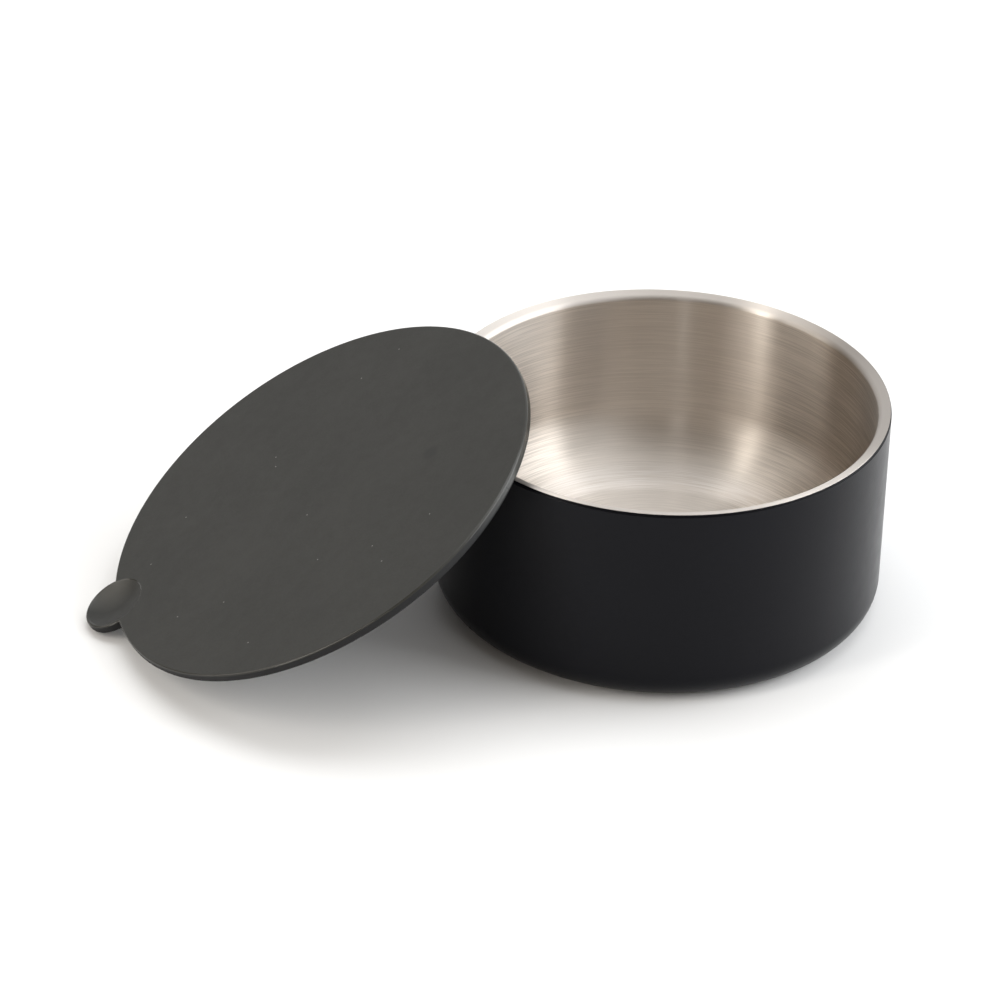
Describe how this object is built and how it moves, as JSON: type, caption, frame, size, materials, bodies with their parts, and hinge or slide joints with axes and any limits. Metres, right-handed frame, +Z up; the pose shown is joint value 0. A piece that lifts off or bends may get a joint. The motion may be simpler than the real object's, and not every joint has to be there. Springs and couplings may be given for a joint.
{
  "type": "insulated bowl with lid",
  "caption": "Round insulated bowl of double steel wall, black outside and brushed inside, with a flat loose lid that has a dished thumb tab and leans on the rim.",
  "frame": {"origin": "middle of the foot pad's underside, on the table", "axes": "+Z up along the bowl's axis; the loose lid leans on the rim on the -X side, with its tab down on the table"},
  "size_m": [0.285, 0.166, 0.0948],
  "materials": {
    "powder_coat": "satin black powder coat",
    "bare_steel": "brushed round the axis",
    "foil": "bright foil",
    "getter_alloy": "pressed powder",
    "seal_glass": "solder glass",
    "foot_silicone": "matt silicone",
    "lid_plastic": "fine matt charcoal",
    "seal_silicone": "smooth silicone"
  },
  "bodies": {
    "bowl": {"outer_shell": "powder_coat", "inner_liner": "bare_steel", "radiation_foil": "foil", "getter_holder": "bare_steel", "getter": "getter_alloy", "vacuum_seal": "seal_glass", "base_pad": "foot_silicone"},
    "lid": {"lid_panel": "lid_plastic", "lid_seal": "seal_silicone"}
  },
  "joints": [
    {"name": "lid_lift", "type": "slide", "parent": "bowl", "child": "lid", "axis": [0, 0, 1], "range_m": [0, 0.1]}
  ]
}
